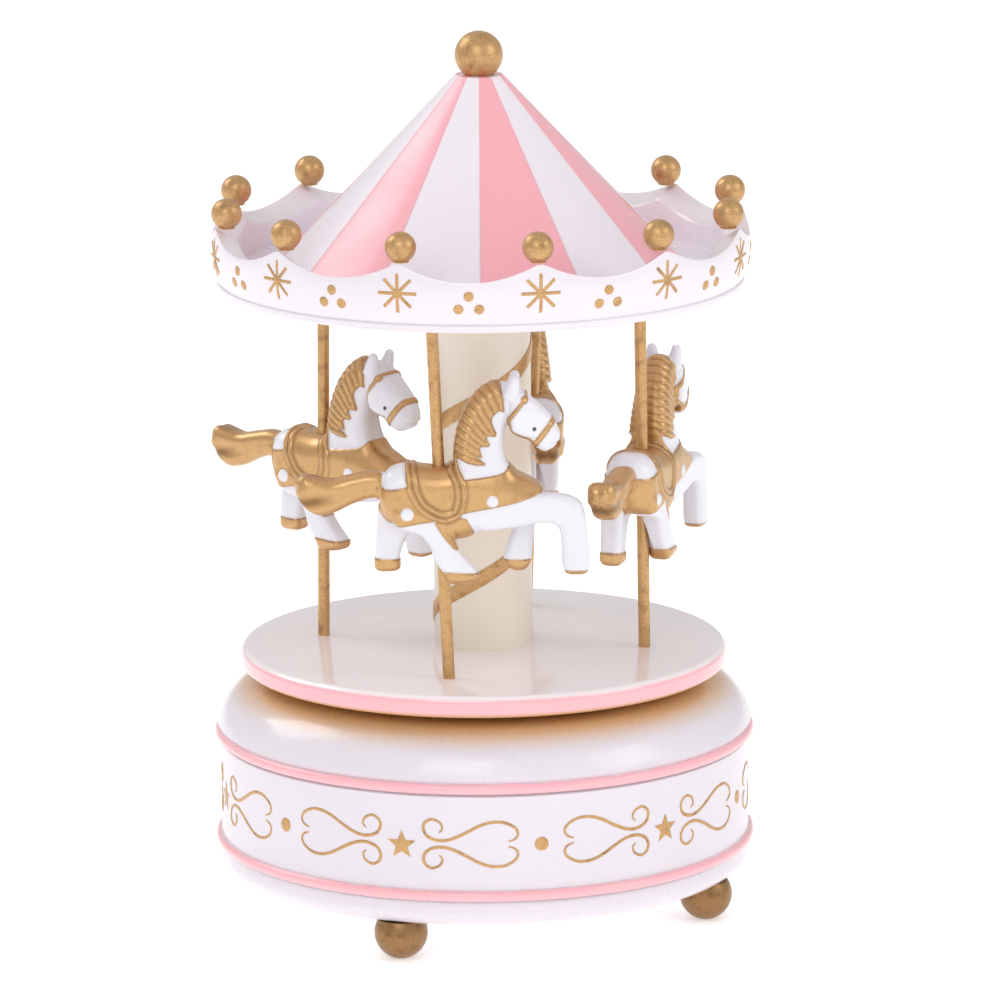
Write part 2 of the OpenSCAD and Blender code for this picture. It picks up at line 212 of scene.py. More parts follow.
def gold_color(n, worn=0.5, grain=0.26, painted_light_level=1.0):
    """Brushed-on metallic paint: fine flakes, brush mottling and darker thin spots. A light level below 1 darkens
    it all, as painted shade.
    """
    flakes = n.noise(5200, 2, 0.7)
    mottle = n.noise(420, 4, 0.6)
    bright = n.mix(n.span(flakes, 0.35, 0.68), shade(GOLD, 1 - grain), shade(GOLD, 1 + grain))
    thin = n.math("MULTIPLY", n.span(mottle, 0.50, 0.74), worn)
    # Below a light level of 1 the gold is pulled towards DARK_GOLD: painted shade.
    return n.mix(thin, n.mix(painted_light_level, DARK_GOLD, bright), DARK_GOLD)


def gold_finish(n, color, mask=1.0):
    grain = n.noise(5200, 2, 0.7)
    n.bump((n.noise(700, 3), 0.25, 0.12), (grain, 0.22, 0.03))
    return n.finish(color, n.span(grain, 0.3, 0.7, 0.30, 0.46), mask, coat=0.15, coat_rough=0.3)


def gold_material(name="gold_paint", worn=0.5, painted_light_level=1.0):
    n = Nodes(name)
    return gold_finish(n, gold_color(n, worn, painted_light_level=painted_light_level), 0.62)


def plastic_material(name, color, rough=0.22, coat=0.3):
    n = Nodes(name)
    n.bump((n.noise(190, 2), 0.05, 0.25), (n.noise(2600, 2), 0.06, 0.02))
    handled = n.span(n.noise(90, 4, 0.6), 0.3, 0.7, rough, rough + 0.12)
    return n.finish(plastic_color(n, color), handled, 0.0, coat, 0.12)


def height_of(n):
    """A point's height above the table, in millimetres."""
    separate = n.add("ShaderNodeSeparateXYZ")
    n.link(n.coords(), separate.inputs[0])
    return n.math("MULTIPLY", separate.outputs["Z"], 1 / MM), separate


def shell_material():
    """White casting with pink rings, a painted shadow line under each ring, and painted shade with a warm painted
    reflection under the turntable's edge.
    """
    n = Nodes("shell_paint")
    z, _ = height_of(n)
    ragged = n.math("MULTIPLY", n.math("SUBTRACT", n.noise(300, 3), 0.5), 0.35)
    z = n.math("ADD", z, ragged)
    rings = 0.0
    for ring_z in (LOW_RING_Z, TOP_RING_Z):
        away = n.math("ABSOLUTE", n.math("SUBTRACT", z, ring_z))
        rings = n.math("MAXIMUM", rings, n.span(away, RING_R - 0.15, RING_R + 0.1, 1, 0))
    # The casting's white is a darker copy of WHITE: painted shade.
    color = n.mix(rings, plastic_color(n, SHADED_BASE_WHITE), plastic_color(n, PALE_PINK))
    # A painted shadow line just under each ring.
    for ring_z in (LOW_RING_Z, TOP_RING_Z):
        away = n.math("ABSOLUTE", n.math("SUBTRACT", z, ring_z - RING_R - 0.25))
        color = n.mix(n.span(away, 0.1, 0.4, 0.35, 0), color, shade(PALE_PINK, 0.45))
    # Painted shade with a warm painted reflection, growing towards the dome's top under the turntable.
    painted_warm_shade = n.math("POWER", n.span(z, DECK_Z - 6.2, DECK_Z - 0.4), 1.7)
    color = n.mix(n.math("MULTIPLY", painted_warm_shade, 0.95), color, TAN)
    n.bump((n.noise(190, 2), 0.05, 0.25), (n.noise(2600, 2), 0.06, 0.02))
    return n.finish(color, n.span(n.noise(90, 4), 0.3, 0.7, 0.20, 0.32), 0.0, 0.35, 0.12)


def roof_material():
    """Twelve painted sectors, pink and white in turn."""
    n = Nodes("roof_paint")
    _, separate = height_of(n)
    angle = n.math("ARCTAN2", separate.outputs["X"], n.math("MULTIPLY", separate.outputs["Y"], -1))
    ragged = n.math("MULTIPLY", n.math("SUBTRACT", n.noise(260, 3), 0.5), 0.012)
    wave = n.math("SINE", n.math("MULTIPLY", n.math("ADD", angle, ragged), 6))
    # The white sectors use a lighter white, as painted light on the roof's slope.
    color = n.mix(n.span(wave, -0.03, 0.03), plastic_color(n, LIT_ROOF_WHITE), plastic_color(n, PINK))
    seam = n.span(n.math("ABSOLUTE", wave), 0.0, 0.09, 0.25, 0)
    color = n.mix(seam, color, shade(PINK, 0.6))
    step_at_seam = (n.span(wave, -0.05, 0.05), 0.5, 0.12)
    n.bump(step_at_seam, (n.noise(190, 2), 0.05, 0.25), (n.noise(2600, 2), 0.06, 0.02))
    return n.finish(color, n.span(n.noise(90, 4), 0.3, 0.7, 0.22, 0.34), 0.0, 0.3, 0.12)


def table_material():
    """Pink edge, and a glossy greyish top with a faint noisy bump."""
    n = Nodes("turntable_paint")
    z, separate = height_of(n)
    top = n.span(z, TABLE_Z - 1.0, TABLE_Z - 0.4)
    # The top's lighter colour is painted light for the shade under the canopy.
    color = n.mix(top, plastic_color(n, PALE_PINK), plastic_color(n, LIT_TABLE_WHITE))
    color = n.mix(n.span(z, TABLE_LOW_Z + 0.2, TABLE_LOW_Z + 1.2, 1, 0), color, TAN)
    n.bump((n.noise(150, 2), 0.08, 0.3), (n.noise(2600, 2), 0.05, 0.02))
    return n.finish(color, n.span(n.noise(110, 4), 0.35, 0.65, 0.10, 0.2), 0.0, 0.6, 0.06)


def horse_material():
    """White moulding whose gold harness, mane and hooves, black eyes, and painted shade in its creases and along
    the gilt's edges, are masks on its mesh.
    """
    n = Nodes("horse_paint")
    gold, dark, painted_crease_shade = n.mask("gold"), n.mask("eye"), n.mask("painted_crease_shade")
    # The crease mask darkens the white and the gilt: painted shade in grooves, beside ridges and at the gilt's
    # edges.
    color = n.mix(n.math("MULTIPLY", painted_crease_shade, 0.35), plastic_color(n, HORSE_WHITE), shade(TAN, 0.8))
    gilt = n.mix(n.math("MULTIPLY", painted_crease_shade, 0.8), gold_color(n, 0.2, 0.12), DARK_GOLD)
    color = n.mix(gold, color, gilt)
    color = n.mix(dark, color, (0.01, 0.01, 0.012))
    n.bump((n.noise(420, 2), 0.10, 0.12), (n.noise(5200, 2), 0.05, 0.02))
    rough = n.span(gold, 0, 1, 0.26, 0.34)
    return n.finish(color, rough, n.math("MULTIPLY", gold, 0.7), 0.25, 0.15)


def metal_material(name, color, rough=0.3, brushed=(1, 1, 1)):
    n = Nodes(name)
    mapping = n.add("ShaderNodeMapping")
    mapping.inputs["Scale"].default_value = brushed
    n.link(n.coords(), mapping.inputs["Vector"])
    lines = n.noise(900, 4, 0.7, mapping.outputs[0])
    n.bump((lines, 0.2, 0.05))
    tint = n.mix(n.span(lines, 0.3, 0.7), shade(color, 0.8), color)
    return n.finish(tint, n.span(lines, 0.3, 0.7, rough, rough + 0.15), 1.0)


# ---- Mesh helpers ----

def add_piece(name, vertices, faces, material, body, nodes=(), slot=None, sharp=35):
    """A smooth-shaded mesh from millimetre points that rides on a body and stands for CAD nodes."""
    mesh = bpy.data.meshes.new(name)
    mesh.from_pydata((np.asarray(vertices, float) * MM).tolist(), [], [tuple(map(int, f)) for f in faces])
    mesh.validate()
    mesh.polygons.foreach_set("use_smooth", [True] * len(mesh.polygons))
    if sharp:
        mesh.set_sharp_from_angle(angle=math.radians(sharp))
    mesh.materials.append(material)
    piece = bpy.data.objects.new(name, mesh)
    bpy.context.scene.collection.objects.link(piece)
    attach(piece, body)
    if nodes:
        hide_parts(*nodes)
    return piece


def arc(center, radius, start, end, steps):
    """Points on a circle in the (r, z) plane, angles in degrees."""
    angles = np.radians(np.linspace(start, end, steps + 1))
    return [(center[0] + radius * math.cos(a), center[1] + radius * math.sin(a)) for a in angles]


def lathe(profile, segments=192, center=(0, 0)):
    """Turns an (r, z) outline about Z. It starts and ends on the axis, or comes back to its start."""
    vertices, rows = [], []
    for r, z in profile:
        if r < 1e-6:
            rows.append([len(vertices)] * segments)
            vertices.append((center[0], center[1], z))
            continue
        rows.append(list(range(len(vertices), len(vertices) + segments)))
        for i in range(segments):
            a = 2 * math.pi * i / segments
            vertices.append((center[0] + r * math.sin(a), center[1] - r * math.cos(a), z))
    if profile[0][0] > 1e-6:
        rows.append(rows[0])
    return vertices, grid_faces(rows, True)


def grid_faces(rows, wrap):
    """Quads between neighbouring rows of vertex numbers, leaving out repeated corners."""
    faces = []
    for low, high in zip(rows, rows[1:]):
        for i in range(len(low) if wrap else len(low) - 1):
            j = (i + 1) % len(low)
            face = list(dict.fromkeys((low[i], low[j], high[j], high[i])))
            if len(face) > 2:
                faces.append(face)
    return faces


def join(parts):
    """Several (vertices, faces) as one."""
    vertices, faces = [], []
    for more, shapes in parts:
        offset = len(vertices)
        vertices += [tuple(v) for v in more]
        faces += [[i + offset for i in f] for f in shapes]
    return vertices, faces


def stroke(points, widths, height, sunk=0.2):
    """A raised half-round stroke along flat points (s, t), as (s, t, h) points."""
    points = np.asarray(points, float)
    along = np.gradient(points, axis=0)
    along /= np.linalg.norm(along, axis=1)[:, None]
    across = np.stack([-along[:, 1], along[:, 0]], 1)
    section = [(math.cos(a), math.sin(a)) for a in np.linspace(0, math.pi, 7)]
    section += [(-1, -sunk / height), (1, -sunk / height)]
    vertices, rows = [], []
    for p, side, width in zip(points, across, widths):
        rows.append(list(range(len(vertices), len(vertices) + len(section))))
        for x, h in section:
            s, t = p + side * x * width / 2
            vertices.append((s, t, h * height * min(1, width / max(widths) + 0.35)))
    faces = grid_faces(rows, True)
    return vertices, faces + [rows[0][::-1], rows[-1]]


def pad(outline, height, inset=0.75, sunk=0.2):
    """A raised pad with a crowned top on a flat outline, as (s, t, h) points."""
    outline = np.asarray(outline, float)
    middle = outline.mean(0)
    count = len(outline)
    vertices, rows = [], []
    for scale, h in ((1, -sunk), (1, height * 0.45), ((1 + inset) / 2, height * 0.85), (inset, height)):
        rows.append(list(range(len(vertices), len(vertices) + count)))
        vertices += [(*(middle + (p - middle) * scale), h) for p in outline]
    vertices.append((*middle, height * 1.15))
    last, tip = rows[-1], len(vertices) - 1
    faces = grid_faces(rows, True) + [[last[i], last[(i + 1) % count], tip] for i in range(count)]
    return vertices, faces + [rows[0][::-1]]


def disc(radius, count=20):
    turns = np.linspace(0, 2 * math.pi, count, False)
    return [(radius * math.cos(a), radius * math.sin(a)) for a in turns]


def star(outer, inner, points=5):
    step = math.pi / points
    corners = [((outer, inner)[i % 2], i * step) for i in range(2 * points)]
    return [(r * math.sin(a), r * math.cos(a)) for r, a in corners]


def place(part, ds=0.0, dt=0.0, mirror_s=1, mirror_t=1):
    """Moves and mirrors an (s, t, h) part."""
    vertices, faces = part
    moved = [(mirror_s * s + ds, mirror_t * t + dt, h) for s, t, h in vertices]
    return moved, [f[::-1] for f in faces] if mirror_s * mirror_t < 0 else faces


def wrap(part, radius_at, reference):
    """Bends an (s, t, h) part round Z: s is arc length at the reference radius, t is height."""
    vertices, faces = part
    bent = []
    for s, t, h in vertices:
        a, r = s / reference, radius_at(t) + h
        bent.append((r * math.sin(a), -r * math.cos(a), t))
    return bent, faces


def ball_profile(radius, center_z, low_z, high_z, steps=28):
    """A ball's outline cut flat at low_z and high_z."""
    low = math.degrees(math.asin(max(-1, (low_z - center_z) / radius)))
    high = math.degrees(math.asin(min(1, (high_z - center_z) / radius)))
    ends = [(0, low_z)] if low > -89.9 else []
    tops = [(0, high_z)] if high < 89.9 else []
    middle = arc((0, center_z), radius, low, high, steps)
    return ends + [(max(0, r), z) for r, z in middle] + tops


# ---- Base ----

def panel_radius(z):
    """The panel between the rings is slightly hollow."""
    middle, half = (LOW_RING_Z + TOP_RING_Z) / 2, (TOP_RING_Z - LOW_RING_Z) / 2
    return PANEL_R - 0.25 * max(0, 1 - ((z - middle) / half) ** 2)


def build_base():
    """The turned casting, ringed and domed, and its four gilt ball feet."""
    dome = (BASE_R - 12.5, DECK_Z - 12.4)
    outer = arc((BASE_R - 5, BASE_Z + 4), 4, -75, -10, 10)
    outer += [(BASE_R - 1.6, LOW_RING_Z - RING_R - 0.1)]
    outer += arc((BASE_R - RING_R, LOW_RING_Z), RING_R, -84, 90, 14)
    panel_z = np.linspace(LOW_RING_Z + RING_R + 0.3, TOP_RING_Z - RING_R - 0.6, 14)
    outer += [(panel_radius(z), z) for z in panel_z]
    outer += [(BASE_R - 1.6, TOP_RING_Z - RING_R - 0.15)]
    outer += arc((BASE_R - RING_R, TOP_RING_Z), RING_R, -84, 84, 14)
    outer += arc(dome, 12.4, 14, 90, 26)
    inner = [(3, DECK_Z), (3, DECK_Z - 3.5), (43, DECK_Z - 3.5), (45, 39), (45, BASE_Z + 2.2)]
    inner += [(46.2, BASE_Z + 2.2), (46.2, BASE_Z)]
    add_piece("base_casting", *lathe(outer + inner, 256), shell_material(), "base",
              ["base_shell"], "white_plastic")
    feet = []
    low, high = cad("ball_feet")
    for i in range(4):
        a = math.radians(FOOT_AT + 90 * i)
        at = (FOOT_RING_R * math.sin(a), -FOOT_RING_R * math.cos(a))
        feet.append(lathe(ball_profile(FOOT_R, FOOT_R - 0.15, low[2], high[2]), 64, at))
    # The feet's gold is pulled far towards DARK_GOLD, as painted shade for their place under the base.
    add_piece("gilt_feet", *join(feet), gold_material("foot_gold_painted_shade", 0.95, 0.35), "base",
              ["ball_feet"], "gold_paint")


def curve(points, steps=16):
    """A smooth line through a few given points."""
    p = np.asarray(points, float)
    p = np.vstack([2 * p[0] - p[1], p, 2 * p[-1] - p[-2]])
    t = np.linspace(0, 1, steps, False)[:, None]
    parts = []
    for a, b, c, d in zip(p, p[1:], p[2:], p[3:]):
        square, cube = 2 * a - 5 * b + 4 * c - d, 3 * b - a - 3 * c + d
        parts.append(0.5 * (2 * b + (c - a) * t + square * t**2 + cube * t**3))
    return np.vstack(parts + [p[-2]])


def taper(count, thick, thin=0.3, blunt=0.0):
    """Stroke widths that swell in the middle and thin out at the ends."""
    t = np.linspace(0, 1, count)
    return thick * (thin + (1 - thin) * np.sin(math.pi * np.clip(t, blunt, 1)) ** 0.6)


SCROLL = [(7.7, 2.3), (8.35, 3.1), (7.9, 4.3), (6.3, 5.0), (4.9, 4.3), (4.5, 3.0), (5.3, 1.5),
          (7.4, 0.7), (9.8, 0.9), (12.6, 2.1), (15.6, 3.7), (18.2, 4.5), (20.8, 4.4), (22.9, 3.3),
          (23.5, 2.0), (22.9, 1.0), (21.6, 0.5)]


def scroll():
    """Half of a scroll, from its curl by the star at s = 0 to its lobe by the dot, as a raised stroke."""
    line = curve(SCROLL, 8)
    return stroke(line, taper(len(line), LINE_WIDTH, 0.4), GILT_HEIGHT)


def build_base_ornament():
    """A gilt band of stars, dots and mirrored scrolls round the panel."""
    middle_z = (LOW_RING_Z + TOP_RING_Z) / 2 - 0.35
    pitch = math.radians(60) * PANEL_R
    shift = math.radians(-18) * PANEL_R
    parts = []
    for i in range(6):
        at = shift + i * pitch
        parts.append(place(pad(star(3.05, 1.3), GILT_HEIGHT, 0.6), at, middle_z - 0.55))
        parts.append(place(pad(disc(1.4), GILT_HEIGHT, 0.8), at + pitch / 2, middle_z - 0.2))
        for side in (1, -1):
            for half in (1, -1):
                parts.append(place(scroll(), at, middle_z, side, half))
    wrapped = wrap(join(parts), panel_radius, PANEL_R)
    add_piece("base_gilding", *wrapped, gold_material("band_gold", 0.6), "base", slot="gold_paint")


# ---- Carousel ----

def build_turntable():
    """A disc with a rounded rim."""
    edge = 1.6
    profile = [(4, TABLE_LOW_Z)] + arc((TABLE_R - edge, TABLE_LOW_Z + edge), edge, -90, 0, 8)
    profile += arc((TABLE_R - edge, TABLE_Z - edge), edge, 0, 90, 8) + [(4, TABLE_Z)]
    add_piece("turntable_disc", *lathe(profile, 256), table_material(), "carousel",
              ["turntable"], "turntable_plastic")


def build_column():
    """The hollow column and the gilt ribbon wound up it."""
    low, high = TABLE_Z, CANOPY_Z
    bore_r = COLUMN_R - 2.5
    profile = [(bore_r, low)] + [(COLUMN_R, z) for z in np.linspace(low, high, 14)]
    profile += [(bore_r, high)]
    cream = plastic_material("column_paint", CREAM, 0.34, 0.15)
    add_piece("column_tube", *lathe(profile, 128), cream, "carousel", ["center_column"],
              "cream_plastic")
    ends = (low + 1.8, high - 1.8)
    turns = np.linspace(*[(z - RIBBON_MIDDLE_Z) / RIBBON_PITCH for z in ends], 220)
    rows, vertices = [], []
    section = [(-1, -0.15), (-1, 0.18), (-0.8, 0.26), (0, 0.30), (0.8, 0.26), (1, 0.18), (1, -0.15)]
    for t in turns:
        rows.append(list(range(len(vertices), len(vertices) + len(section))))
        for across, h in section:
            a = 2 * math.pi * t
            r = COLUMN_R + h
            z = RIBBON_MIDDLE_Z + RIBBON_PITCH * t + across * RIBBON_WIDTH / 2
            vertices.append((r * math.sin(a), -r * math.cos(a), z))
    faces = grid_faces(rows, True) + [rows[0][::-1], rows[-1]]
    add_piece("helical_ribbon", vertices, faces, gold_material("ribbon_gold", 0.5), "carousel",
              slot="gold_paint")


def pole_axis(i):
    """A point on a pole's axis at its horse's saddle, in millimetres, and its direction."""
    joint = next(j for j in frame["joints"] if j["child"] == f"horse_{i}")
    return Vector(joint["pos_m"]) / MM, Vector(joint["axis"]).normalized()


def build_poles():
    """Round rods along the leaning pole axes, from socket to socket."""
    low, high = TABLE_Z - 1.5, CANOPY_Z + 1.5
    for i in range(1, 5):
        at, lean = pole_axis(i)
        turn = Vector((0, 0, 1)).rotation_difference(lean)
        heights = np.linspace(low, high, 60)
        rod = [(POLE_R * (1 + 0.012 * math.sin(1.7 * z + i)), z) for z in heights]
        vertices, faces = lathe([(0, low)] + rod + [(0, high)], 32)
        leaning = [at + turn @ Vector((x, y, (z - at.z) / lean.z)) for x, y, z in vertices]
        add_piece(f"gilt_pole_{i}", leaning, faces, gold_material(f"pole_gold_{i}", 0.5),
                  "carousel", [f"pole_{i}"], "gold_paint")


def build_canopy():
    """The scalloped rim: a turned tray whose wall dips between the balls, more on its inner side."""
    low_r, segments, tilt = CANOPY_R - 1.2, 360, math.tan(math.radians(26))
    depth = RIM_TOP_Z - SCALLOP_LOW_Z + 0.4
    half = CANOPY_R * math.sin(math.pi / SCALLOPS)
    valley_r = (half**2 + depth**2) / (2 * depth)
    floor_z = ROOF_Z
    vertices, rows = [], []

    def top(angle, radius):
        step = 2 * math.pi / SCALLOPS
        away = (angle - math.radians(SCALLOP_AT)) % step - step / 2
        across = radius * math.sin(away)
        z = SCALLOP_LOW_Z + valley_r - math.sqrt(valley_r**2 - across**2)
        return min(z - (CANOPY_R - radius) * tilt, RIM_TOP_Z)

    wall = [(low_r - 0.5, CANOPY_Z), (low_r, CANOPY_Z + 0.5), (low_r, CANOPY_Z + 1.3),
            (low_r - 0.4, CANOPY_Z + 1.6), (low_r, CANOPY_Z + 1.9),
            (CANOPY_R - 0.4, CANOPY_Z + 4.5), (CANOPY_R - 0.1, CANOPY_Z + 6)]
    inner_r = CANOPY_R - RIM_WALL
    for i in range(segments):
        a = 2 * math.pi * i / segments
        outer_top, inner_top = top(a, CANOPY_R), top(a, inner_r)
        ring = [(12, CANOPY_Z)] + wall
        ring += [(CANOPY_R, CANOPY_Z + 7.5), (CANOPY_R, outer_top - 0.5)]
        ring += [(CANOPY_R - 0.15, outer_top - 0.15)]
        ring += [(r, top(a, r)) for r in np.linspace(CANOPY_R - 0.5, inner_r + 0.5, 6)]
        ring += [(inner_r + 0.12, inner_top - 0.1), (inner_r, inner_top - 0.45)]
        ring += [(inner_r, (inner_top + floor_z) / 2), (inner_r, floor_z), (12, floor_z)]
        rows.append(list(range(len(vertices), len(vertices) + len(ring))))
        vertices += [(r * math.sin(a), -r * math.cos(a), z) for r, z in ring]
    faces = grid_faces(rows + [rows[0]], True)
    paint = plastic_material("rim_paint", WHITE, 0.2, 0.35)
    add_piece("canopy_tray", vertices, faces, paint, "carousel", ["canopy_rim"],
              "white_plastic", sharp=40)


def rim_radius(z):
    """The rim's outer surface between its lip and its top."""
    heights = [CANOPY_Z + dz for dz in (1.9, 4.5, 6, 7.5)]
    return float(np.interp(z, heights, [CANOPY_R - dr for dr in (1.2, 0.4, 0.1, 0)]))


def build_rim_ornament():
    """An eight-rayed star under each ball, and three dots under each valley."""
    pitch = 2 * math.pi * CANOPY_R / SCALLOPS
    parts = []
    for i in range(SCALLOPS):
        at = math.radians(SCALLOP_AT) * CANOPY_R + i * pitch
        for k in range(4):
            a = math.pi * k / 4
            line = np.linspace(-3.9, 3.9, 15)[:, None] * np.array([[math.sin(a), math.cos(a)]])
            ray = stroke(line, [LINE_WIDTH] * 15, 0.14 + 0.02 * k)
            parts.append(place(ray, at, CANOPY_Z + 7.9))
        middle = at + pitch / 2
        for ds, dz in ((0, 7.6), (-2.05, 5.0), (2.05, 5.0)):
            parts.append(place(pad(disc(1.0), GILT_HEIGHT, 0.8), middle + ds, CANOPY_Z + dz))
    add_piece("rim_gilding", *wrap(join(parts), rim_radius, CANOPY_R),
              gold_material("rim_gold", 0.5), "carousel", slot="gold_paint")


def build_roof():
    """A hollow cone, slightly dished, that stands in the tray."""
    slope = [(41.6, ROOF_Z), (36.2, ROOF_Z + 5.9), (20.4, ROOF_Z + 22.6), (4.8, ROOF_TOP_Z)]
    outer = curve(slope, 10).tolist()
    inner = [(0, ROOF_TOP_Z), (0, ROOF_TOP_Z - 2.5), (2.9, ROOF_TOP_Z - 2.5)]
    inner += [(18.6, ROOF_Z + 20.2), (34, ROOF_Z + 4), (38, ROOF_Z)]
    add_piece("striped_roof", *lathe(outer + inner, 240), roof_material(), "carousel",
              ["canopy_roof"], "pink_plastic")


def build_balls():
    """A gilt ball on each of the rim's points, and the finial."""
    parts = []
    for i in range(SCALLOPS):
        a = math.radians(SCALLOP_AT + i * 360 / SCALLOPS)
        ring_r = CANOPY_R - RIM_WALL / 2
        at = (ring_r * math.sin(a), -ring_r * math.cos(a))
        low, high = RIM_TOP_Z, cad("rim_balls")[1][2]
        neck = [(0, low), (1.7, low), (1.6, low + 0.15)]
        ball = [p for p in ball_profile(BALL_R, high - BALL_R, low + 0.2, high) if p[0] > 0.02]
        parts.append(lathe(neck + ball[1:] + [(0, high)], 40, at))
    add_piece("rim_beads", *join(parts), gold_material("bead_gold", 0.45), "carousel",
              ["rim_balls"], "gold_paint")
    profile = ball_profile(FINIAL_R, TOP_Z - FINIAL_R, ROOF_TOP_Z, TOP_Z)
    add_piece("finial", *lathe(profile[:-1] + [(0, TOP_Z)], 64),
              gold_material("finial_gold", 0.45), "carousel", ["finial_ball"], "gold_paint")


# ---- Horses ----
# Local axes: u towards the nose, w to the left, v up. The origin is the saddle's top on the pole's axis.

RIGHT, LEFT = -2.9, 2.9
TORSO = [(-11.3, -2.6), (-9.4, -0.6), (-6.4, 0.1), (-3, -0.6), (0.5, -0.9), (3.2, -0.3),
         (6, -0.4), (12, -0.8), (17, -2.6), (20.4, -4.6), (20.8, -6.6), (18.4, -9.8), (14, -12.2),
         (8.2, -13.6), (4.6, -15.2), (0, -14.2), (-6, -12.8), (-10.4, -11.2), (-11.6, -7)]
NECK = [(3.4, 0.2), (3.6, 4), (4.4, 8), (6.0, 11.8), (8.2, 14.6), (10.6, 16.2), (13.2, 16.6),
        (15.6, 15.6), (17.2, 13.6), (15.2, 11), (13.9, 8.6), (13.1, 6.2), (12.9, 3.4),
        (13.5, 0.6), (15.2, -2.4), (14, -5), (5, -5)]
HEAD = [(14.0, 9.0), (14.2, 13), (15.8, 15.0), (17.6, 14.0), (20.3, 11.6), (22.6, 9.3),
        (24.1, 6.6), (24.3, 5.0), (23.2, 3.4), (21.2, 2.4), (19.4, 3.4), (18.2, 5.2), (16.4, 5.8),
        (14.7, 6.7)]
TAIL = [(-10.4, -1.8), (-14, -1.4), (-17.6, -2.2), (-21.4, -3.0), (-24.4, -2.3), (-27.0, -1.8),
        (-28.3, -3.6), (-28.4, -6.6), (-26.6, -9.0), (-23.6, -10.2), (-20.4, -9.7), (-17.2, -8.0),
        (-13.8, -6.8), (-10.4, -6.8)]
FRONT_RIGHT = [(6, -9), (13, -7.2), (20.4, -5.4), (25.8, -5.9), (28.4, -7.4), (29.1, -10),
               (29.7, -15), (30.1, -21.9), (24.5, -21.9), (24.4, -15), (23.9, -12.4),
               (21.8, -11.3), (15, -12.4), (8, -13.4)]
FRONT_LEFT = [(13, -9), (19.6, -9), (19.2, -13), (18.7, -17), (18.4, -20.0), (17.2, -22.2),
              (14.8, -22.3), (12.6, -20.4), (13.6, -17), (15.2, -13)]
HIND_LEFT = [(-12.0, -8), (-4, -9), (-4.8, -13.2), (-6.8, -15.6), (-8.0, -19.6), (-7.9, -22.2),
             (-12.7, -22.3), (-12.8, -19.6), (-12.6, -14)]
HIND_RIGHT = [(-9.5, -8), (1.5, -9), (2.4, -13.5), (4.0, -17.4), (7.4, -21.0), (8.0, -22.2),
              (7.2, -23.3), (2.4, -23.9), (0.8, -21.4), (-0.9, -19.4), (-1.8, -16), (-3.6, -13.8),
              (-8, -12.6)]
MANE = [(2.0, 0.4), (2.0, 8), (4, 14), (9, 18), (12.3, 17.2), (12.9, 14.2), (13.3, 10.6),
        (12.2, 11.2), (10.4, 9.4), (11.9, 5.8), (9.4, 6.2), (10.5, 3.9), (8.1, 4.0), (8.9, 1.5),
        (7.2, 2.3), (9.9, 0.2), (6.6, 0.3), (3.6, 1.8)]
BLANKET = [(-12.5, -3.8), (-10.2, -4.6), (-5.6, -3.6), (5.2, -2.5), (9, -2.1), (13.1, -1.4),
           (14.2, 0.4), (17.4, -1.6), (20.0, -3.0), (22.4, -4.6), (20.6, -5.4), (14.6, -7.5),
           (5.8, -9.1), (2, -10), (-0.9, -10.8), (-4.7, -11.4), (-9.4, -12.4), (-10.5, -11.8),
           (-12.5, -9)]
SADDLE = [(-6.7, 3), (-6.7, -1), (-6.2, -4.6), (-4.3, -8.4), (-0.9, -10.7), (2.2, -11.3),
          (4.7, -9.8), (5.7, -6.4), (5.5, -2.9), (3.9, 0), (3.7, 3)]
GIRTH = [(-1.4, -10.4), (5.2, -9.6), (7.4, -14.0), (5, -16.6), (3.2, -16.9), (1.0, -14.2)]
CHEEK_STRAP = [(17.9, 14.6), (17.3, 13.4), (15.2, 10.8), (14.0, 9.2), (14.3, 6.8), (16.3, 5.7),
               (18.2, 5.1), (19.2, 4.2)]
MOUTH = [(24.6, 4.6), (23.2, 4.2), (22.0, 4.1)]
NOSE_STRAP = [(23.2, 9.2), (22.0, 7.8), (20.6, 6.0), (19.2, 4.2), (18.6, 3.4)]
STUDS = [(10.7, -6.8, 1.15), (-6.3, -9.3, 1.3)]
EYE = (19.1, 7.5, 0.42)
STRAND_CENTER = (17.3, -0.4)


def rounded(points, passes=2):
    """A closed outline with its corners cut, smoothly."""
    p = np.asarray(points, float)
    for _ in range(passes):
        q = np.roll(p, -1, 0)
        p = np.stack([0.8 * p + 0.2 * q, 0.2 * p + 0.8 * q], 1).reshape(-1, 2)
    return p


def outline_distance(points, u, v):
    """Signed distance to a closed outline, negative inside."""
    best = np.full(u.shape, 1e9)
    inside = np.zeros(u.shape, bool)
    for (x0, y0), (x1, y1) in zip(points, np.roll(points, -1, 0)):
        dx, dy = x1 - x0, y1 - y0
        t = np.clip(((u - x0) * dx + (v - y0) * dy) / (dx * dx + dy * dy + 1e-12), 0, 1)
        best = np.minimum(best, (u - x0 - t * dx) ** 2 + (v - y0 - t * dy) ** 2)
        crosses = ((y0 > v) != (y1 > v)) & (u < (x1 - x0) * (v - y0) / (y1 - y0 + 1e-12) + x0)
        inside ^= crosses
    return np.where(inside, -1, 1) * np.sqrt(best)


def line_distance(points, u, v):
    """Distance to an open line."""
    best = np.full(u.shape, 1e9)
    for (x0, y0), (x1, y1) in zip(points, points[1:]):
        dx, dy = x1 - x0, y1 - y0
        t = np.clip(((u - x0) * dx + (v - y0) * dy) / (dx * dx + dy * dy), 0, 1)
        best = np.minimum(best, np.hypot(u - x0 - t * dx, v - y0 - t * dy))
    return best


def step(value, low, high):
    t = np.clip((value - low) / (high - low), 0, 1)
    return t * t * (3 - 2 * t)


def blended(a, b, k):
    """Smooth union of two distance fields."""
    h = np.clip(0.5 + 0.5 * (b - a) / k, 0, 1)
    return b + (a - b) * h - k * h * (1 - h)


